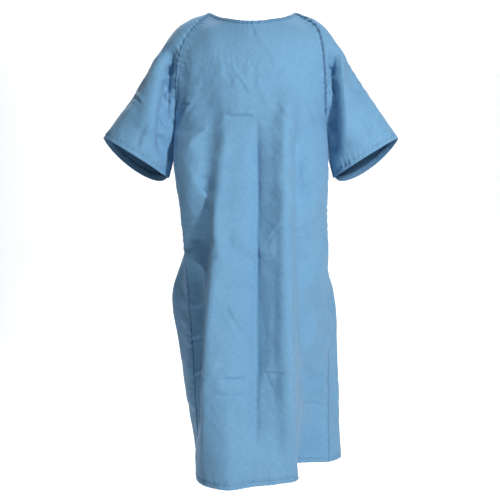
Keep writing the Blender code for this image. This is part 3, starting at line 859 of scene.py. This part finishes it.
def woven(name, light, dark, pitch=0.0009, roughness=(0.72, 0.92), sheen=0.25):
    """Plain-woven poly-cotton: crossing threads, uneven yarn, faint wear and a soft sheen."""
    looks, tree, shader = shader_of(name)
    set_inputs(shader, Metallic=0, Specular_IOR_Level=0.25)
    set_inputs(shader, Sheen_Weight=sheen, Sheen_Roughness=0.45, Sheen_Tint=(0.75, 0.88, 1.0, 1))
    place = node(tree, "ShaderNodeUVMap", uv_map="cloth")
    solid = node(tree, "ShaderNodeTexCoord")
    crossing = node(tree, "ShaderNodeMath", operation="MAXIMUM")
    thread = {"Scale": 0.31416 / pitch, "Distortion": 0.6, "Detail": 1, "Detail_Scale": 0.4}
    for k, direction in enumerate("XY"):
        threads = node(tree, "ShaderNodeTexWave", thread, wave_type="BANDS", bands_direction=direction)
        wire(tree, (place, "UV", threads, "Vector"), (threads, "Fac", crossing, k))
    yarn = node(tree, "ShaderNodeMath", operation="ADD")
    for k, scale in enumerate(((60, 520, 1), (620, 55, 1))):
        stretch = node(tree, "ShaderNodeMapping", {"Scale": scale})
        noise = node(tree, "ShaderNodeTexNoise", {"Scale": 1.0, "Detail": 3.0})
        wire(tree, (place, "UV", stretch, "Vector"), (stretch, "Vector", noise, "Vector"))
        wire(tree, (noise, "Fac", yarn, k))
    cloudy = node(tree, "ShaderNodeTexNoise", {"Scale": 9.0, "Detail": 4.0, "Roughness": 0.6})
    total = node(tree, "ShaderNodeMath", operation="MULTIPLY_ADD")
    total.inputs[1].default_value = 0.6
    spread = node(tree, "ShaderNodeMapRange", {"From_Min": 0.98, "From_Max": 1.62})
    ramp = two_colours(tree, dark, light)
    rough = node(tree, "ShaderNodeMapRange", {"To_Min": roughness[0], "To_Max": roughness[1]})
    weave_bump = node(tree, "ShaderNodeBump", {"Strength": 0.35, "Distance": 0.0002})
    yarn_bump = node(tree, "ShaderNodeBump", {"Strength": 0.25, "Distance": 0.0006})
    wire(
        tree,
        (solid, "Object", cloudy, "Vector"),
        (cloudy, "Fac", total, 0),
        (yarn, 0, total, 2),
        (total, 0, spread, "Value"),
        (spread, "Result", ramp, "Fac"),
        (ramp, "Color", shader, "Base Color"),
        (cloudy, "Fac", rough, "Value"),
        (rough, "Result", shader, "Roughness"),
        (crossing, 0, weave_bump, "Height"),
        (yarn, 0, yarn_bump, "Height"),
        (weave_bump, "Normal", yarn_bump, "Normal"),
        (yarn_bump, "Normal", shader, "Normal"),
    )
    return looks


def thread_looks(name, dark, light):
    """Twisted polyester thread."""
    looks, tree, shader = shader_of(name)
    set_inputs(shader, Roughness=0.55, Sheen_Weight=0.2)
    place = node(tree, "ShaderNodeTexCoord")
    noise = node(tree, "ShaderNodeTexNoise", {"Scale": 350.0, "Detail": 2.0})
    ramp = two_colours(tree, dark, light)
    twist = node(tree, "ShaderNodeTexWave", {"Scale": 420.0})
    bump = node(tree, "ShaderNodeBump", {"Strength": 0.3, "Distance": 0.0001})
    wire(
        tree,
        (place, "Object", noise, "Vector"),
        (noise, "Fac", ramp, "Fac"),
        (ramp, "Color", shader, "Base Color"),
        (place, "Object", twist, "Vector"),
        (twist, "Fac", bump, "Height"),
        (bump, "Normal", shader, "Normal"),
    )
    return looks


def looks_made():
    """Every material of the gown."""
    looks = {key: woven(name, light, dark, **more) for key, (name, light, dark, more) in WOVEN_LOOKS.items()}
    looks["thread"] = thread_looks("thread", (0.04, 0.105, 0.21), (0.08, 0.19, 0.34))
    looks["pale_thread"] = thread_looks("pale_thread", (0.1, 0.25, 0.42), (0.16, 0.34, 0.54))
    return looks


# -------- pieces
def felled_seam(name, one, other, hint, wave, height, looks, rise=0.0014, thread="thread", look="seam"):
    """A seam folded over and stitched down twice: a raised, puckered strip over a shared edge.

    one and other are the two panels with that edge in their first column."""
    near = across(one, 0, SEAM_HALF, 4)[:, ::-1]
    far = across(other, 0, SEAM_HALF, 4)[:, 1:]
    strip = np.concatenate([near, far], axis=1)
    out = agreeing(strip, hint)
    strip += out * (SEAM_BULGE * rise + SEAM_BULGE * wave[:, None] * height * 0.5)[..., None]
    seam = layer_object(name, strip, out, SEAM_THICK, looks[look], lift=SEAM_THICK / 2)
    top = strip + out * SEAM_THICK
    lines = [(top[:, k], out[:, k]) for k in (1, 5)]
    return seam, stitches(f"{name}_stitching", lines, looks[thread], radius=SEAM_THREAD)


def turned_edge(name, grid, hint, width, looks):
    """The cloth folded to the inside along the first row of grid, and its line of stitches outside."""
    inside = down(grid, 0.0004, width, 7)
    out = agreeing(inside, hint)
    # The turned-in layer uses the darker hem material: painted shade for the inside of the gown.
    hem = layer_object(name, inside, out, TURNED_THICK, looks["hem"], lift=-TURNED_THICK)
    line = down(grid, 0, STITCH_UP, 2)[1]
    face = unit(out[5])
    rows = [(line + face * CLOTH_THICK / 2, face)]
    return hem, stitches(f"{name}_stitching", rows, looks["thread"], radius=HEM_THREAD)


def sleeve_bend(word, side, *pieces):
    """Bakes each piece's placement into its mesh."""
    for piece in pieces:
        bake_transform(piece)


def back_bend(word, *pieces):
    """Bakes each piece's placement into its mesh."""
    for piece in pieces:
        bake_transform(piece)


def with_gown(*pieces):
    for piece in pieces:
        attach(piece, "gown")


def make_panel(name, grid, looks):
    """The cloth of one panel with its turned hem and hem stitches, and the cloth's outward normals."""
    out = outward(grid, name)
    # The inner faces of the cloth take the inside material, which is painted shade.
    cloth = layer_object(
        f"{name}_cloth", grid, out, CLOTH_THICK, looks["cloth"], inside=looks["inside"]
    )
    hem, thread = turned_edge(f"{name}_turned_hem", grid[::-1], out[-7:][::-1], HEM_WIDTH, looks)
    return out, cloth, hem, thread


def make_front(grid, looks):
    _, cloth, hem, thread = make_panel("front", grid, looks)
    with_gown(cloth, hem, thread)
    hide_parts("front_panel")
    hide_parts("front_hem")
    return cloth, [hem, thread]


def make_sleeve(word, side, grid, looks):
    _, cloth, hem, thread = make_panel(f"{word}_sleeve", grid, looks)
    tube = grid[UNDER:]
    wave = wave_along(tube[:, 0], 0.012, 31)
    under, under_thread = felled_seam(
        f"{word}_underarm_join", tube, tube[:, ::-1], (0, 0, -1), wave, 0.001, looks
    )
    pieces = [cloth, hem, thread, under, under_thread]
    sleeve_bend(word, side, *pieces)
    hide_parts(f"{word}_shoulder", f"{word}_sleeve")
    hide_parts(f"{word}_sleeve_hem")
    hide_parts(f"{word}_underarm_seam")


def make_back(word, grid, looks):
    out, cloth, hem, thread = make_panel(f"{word}_back", grid, looks)
    facing, facing_thread = turned_edge(
        f"{word}_back_edge_facing", turned(grid), turned(out[:, :7]), FACING_WIDTH, looks
    )
    pieces = [cloth, hem, thread, facing, facing_thread]
    back_bend(word, *pieces)
    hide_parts(f"{word}_back_yoke", f"{word}_back_panel")
    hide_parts(f"{word}_back_hem")
    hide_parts(f"{word}_yoke_facing", f"{word}_back_facing")


def make_seams(word, side, grids, waves, looks):
    """The two raglan seams and the side seam of one side."""
    front, back, sleeve = grids["front"], grids[f"{word}_back"], grids[f"{word}_sleeve"]
    front = front[:, ::-1] if side > 0 else front
    upper, lower = slice(2, UNDER + 1), slice(UNDER, None)
    sewn_on = []
    for name, node_name, one, other, hint, wave, style in (
        ("front_raglan", "front_raglan_seam", sleeve[upper], front[upper], (0, -1, 0.6),
         waves["front"][upper], RAGLAN_STYLE),
        ("back_raglan", "back_raglan_seam", sleeve[upper, ::-1], back[upper, ::-1], (0, 1, 0.6),
         waves["back"][upper], RAGLAN_STYLE),
        ("side_join", "side_seam", front[lower], back[lower, ::-1], (side, 0, 0),
         waves["side"], SIDE_STYLE),
    ):
        pieces = felled_seam(f"{word}_{name}", one, other, hint, wave, looks=looks, **style)
        with_gown(*pieces)
        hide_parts(f"{word}_{node_name}")
        sewn_on += pieces
    return sewn_on


def make_binding(grids, looks):
    """A folded strip over the raw neckline, stitched once, from one back edge to the other."""
    order = (
        grids["right_back"], grids["right_sleeve"][:, ::-1], grids["front"],
        grids["left_sleeve"], grids["left_back"][:, ::-1],
    )
    strip = np.concatenate([down(grid, 0, BINDING_WIDTH, 9)[:, 1:] for grid in order], axis=1)
    over_edge = strip[0] + (strip[0] - strip[1])
    strip = np.concatenate([over_edge[None], strip], axis=0)
    out = agreeing(strip, (0, 0, 1))
    wave = wave_along(strip[0], 0.011, 3)
    strip += out * (wave * 0.0006)[None, :, None]
    band = layer_object("folded_neck_binding", strip, out, BINDING_PROFILE, looks["seam"])
    lines = [(strip[7] + out[7] * 0.00145, out[7])]
    thread = stitches("neck_binding_stitching", lines, looks["thread"])
    with_gown(band, thread)
    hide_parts("neck_binding")
    return [band, thread]


def ribbon(route, width_direction, width, columns=5):
    """A flat tape along a route, as a grid of points."""
    side = np.asarray(width_direction, float) * width
    return route[:, None] + np.linspace(-0.5, 0.5, columns)[None, :, None] * side


def smooth_route(points, count):
    points = np.asarray(points, float)
    return spline(np.arange(len(points)), points, np.linspace(0, len(points) - 1, count))


def middle_of(node_name):
    low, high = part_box(node_name)
    return np.array((low + high) / 2)


def make_tape(name, route, width_direction, width, looks, node_name, seed):
    """A stitched self-fabric tape, slightly wavy, with a line of stitches down each side."""
    grid = ribbon(route, width_direction, width)
    out = agreeing(grid, (0, 1, 0.2))
    grid += out * (wave_along(route, 0.03, seed) * 0.0006)[:, None, None]
    tape = layer_object(name, grid, out, TIE_THICK, looks["tape"])
    top = grid + out * TIE_THICK / 2
    lines = [(top[:, k] * 0.9 + top[:, 2] * 0.1, out[:, k]) for k in (0, 4)]
    thread = stitches(
        f"{name}_stitching", lines, looks["thread"], spacing=0.0032, length=0.0022, radius=TIE_THREAD
    )
    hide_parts(node_name)
    return tape, thread, grid


def make_waist_ties(looks):
    """The tape and the patch on each open back edge."""
    for word, side in SIDES:
        patch_middle = middle_of(f"{word}_tie_patch")
        low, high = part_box(f"{word}_waist_tie")
        hang = np.array([patch_middle[0], patch_middle[1] + 0.0022, high.z])
        length = high.z - low.z
        bends = [(side * x, y, -length * share) for x, y, share in WAIST_TIE_BENDS]
        route = smooth_route(hang + np.array(bends), 90)
        tape, thread, grid = make_tape(
            f"{word}_waist_tape", route, (1, 0, 0), TIE_WIDTH, looks, f"{word}_waist_tie", 40 + side
        )
        for piece in (tape, thread):
            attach(piece, f"{word}_tie_body")
        make_patch(word, patch_middle, looks)


def make_patch(word, middle, looks):
    """The square reinforcement that the waist tie is sewn to, stitched all round and crosswise."""
    low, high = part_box(f"{word}_tie_patch")
    x, z = np.meshgrid(np.linspace(low.x, high.x, 9), np.linspace(low.z, high.z, 13))
    grid = np.stack([x, np.full_like(x, middle[1]), z], axis=-1)
    out = agreeing(grid, (0, 1, 0))
    patch = layer_object(f"{word}_patch_cloth", grid, out, 0.0012, looks["tape"])
    inner = (grid + out * 0.0007)[1:-1, 1:-1]
    ring = np.concatenate([around(inner), inner[:1, 0]])
    cross_one = np.linspace(inner[0, 0], inner[-1, -1], 20)
    cross_two = np.linspace(inner[0, -1], inner[-1, 0], 20)
    lines = [(line, np.full_like(line, out[0, 0])) for line in (ring, cross_one, cross_two)]
    thread = stitches(
        f"{word}_patch_stitching", lines, looks["thread"], spacing=0.0028, length=0.002, radius=TIE_THREAD
    )
    for piece in (patch, thread):
        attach(piece, f"{word}_back_flap")
    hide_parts(f"{word}_tie_patch")


def make_neck_ties(looks):
    """Two tapes tied in a bow behind the neck."""
    knot = middle_of("neck_tie_knot")
    for word, side in SIDES:
        route = smooth_route(knot + mirrored(BOW, side), 110)
        tape, thread, grid = make_tape(
            f"{word}_neck_tape", route, (0, 1, 0), TIE_WIDTH * 0.88, looks, f"{word}_neck_tie", 50 + side
        )
        with_gown(tape, thread)
    make_knot(knot, looks)


def make_knot(knot, looks):
    """The knot: a tape wound round itself, a fat soft band with creases across it."""
    count, rings = 60, 15
    turns = np.linspace(0, 2 * math.pi, count + 1)[:-1]
    rows = []
    for share in np.linspace(-1, 1, rings):
        radius = KNOT_RADIUS * math.sqrt(max(1 - (share * 0.93) ** 2, 0.02))
        pleat = 1 + 0.07 * np.sin(turns * 5 + share * 2.2) + 0.05 * math.cos(share * 9)
        deep, tall = radius * 0.85 * pleat * np.cos(turns), radius * 1.1 * pleat * np.sin(turns)
        rows.append(knot + np.stack([np.full(count, share * KNOT_HALF), deep, tall], 1))
    points = np.concatenate(rows)
    index = numbered(rings, count)
    faces = quads(np.concatenate([index, index[:, :1]], axis=1))[:, ::-1].tolist()
    faces += [index[0].tolist(), index[-1, ::-1].tolist()]
    place = points - knot
    uvs = np.stack([place[:, 0] + place[:, 1], place[:, 2]], axis=1)
    made = mesh_object("bow_knot", points, faces, uvs, looks["tape"])
    with_gown(made)
    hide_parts("neck_tie_knot")


# -------- room, light and camera
def plain(name, colour, roughness):
    looks, _, shader = shader_of(name)
    set_inputs(shader, Base_Color=(*colour, 1), Roughness=roughness, Specular_IOR_Level=0.1)
    return looks


def studio():
    """A pale floor that curves up into the backdrop."""
    profile = [(-7, 0), (COVE_Y - 0.1, 0), (COVE_Y, 0)]
    for angle in np.linspace(0, math.pi / 2, 49)[1:]:
        profile.append((COVE_Y + COVE_RADIUS * math.sin(angle), COVE_RADIUS * (1 - math.cos(angle))))
    profile.append((COVE_Y + COVE_RADIUS, 5.5))
    grid = np.array([[(x, y, FLOOR_Z + z) for y, z in profile] for x in (-7, 7)])
    mesh = new_mesh("studio", grid.reshape(-1, 3), quads(numbered(2, len(profile))))
    mesh.shade_smooth()
    mesh.materials.append(plain("studio_paper", (0.86, 0.87, 0.88), 0.9))
    placed("studio", mesh)


def area_light(name, place, target, size, power, colour):
    lamp = bpy.data.lights.new(name, "AREA")
    lamp.shape = "DISK"
    lamp.size = size
    lamp.energy = power
    lamp.color = colour
    made = placed(name, lamp)
    made.location = place
    made.rotation_mode = "QUATERNION"
    made.rotation_quaternion = (Vector(target) - Vector(place)).to_track_quat("-Z", "Y")


def lighting():
    world = bpy.data.worlds.new("studio_air")
    bpy.context.scene.world = world
    world.use_nodes = True
    set_inputs(world.node_tree.nodes["Background"], Color=(0.93, 0.96, 1.0, 1), Strength=0.09)
    area_light("key", (1.65, -3.12, 0.8), (0, 0, -0.6), 0.4, 132, (1.0, 0.98, 0.95))
    area_light("back_fill", (-1.2, 3.0, 1.4), (0, 0, -0.5), 1.6, 60, (0.97, 0.98, 1.0))
    area_light("backdrop_wash", (0, 2.2, 3.0), (0, 4.6, -0.8), 3.0, 200, (1, 1, 1))
    bpy.context.scene.view_settings.view_transform = "Standard"


def camera():
    lens = bpy.data.cameras.new("camera")
    lens.lens = 64.3
    lens.sensor_width = 36
    lens.dof.use_dof = False
    made = placed("camera", lens)
    made.location = (-0.003, -2.45, -0.649)
    made.rotation_euler = (math.pi / 2, 0, 0)
    bpy.context.scene.camera = made


# -------- the whole gown
def main():
    grids = gown_grids()
    hang_sleeves(grids)
    points, numbers = weld(grids)
    points = simulate(points, numbers)
    grids = {name: points[index] for name, index in numbers.items()}
    hem_to_level(grids)
    main_folds(grids)
    grids = refined_grids(grids)
    for name, grid in grids.items():
        crease_panel(name, grid)
    waves = {word: pucker_seams(grids, word, side) for word, side in SIDES}
    looks = looks_made()
    front_cloth, sewn_on = make_front(grids["front"], looks)
    sewn_on += make_binding(grids, looks)
    for word, side in SIDES:
        sewn_on += make_seams(word, side, grids, waves[word], looks)
        make_sleeve(word, side, grids[f"{word}_sleeve"], looks)
        make_back(word, grids[f"{word}_back"], looks)
    make_waist_ties(looks)
    make_neck_ties(looks)


main()
studio()
lighting()
camera()
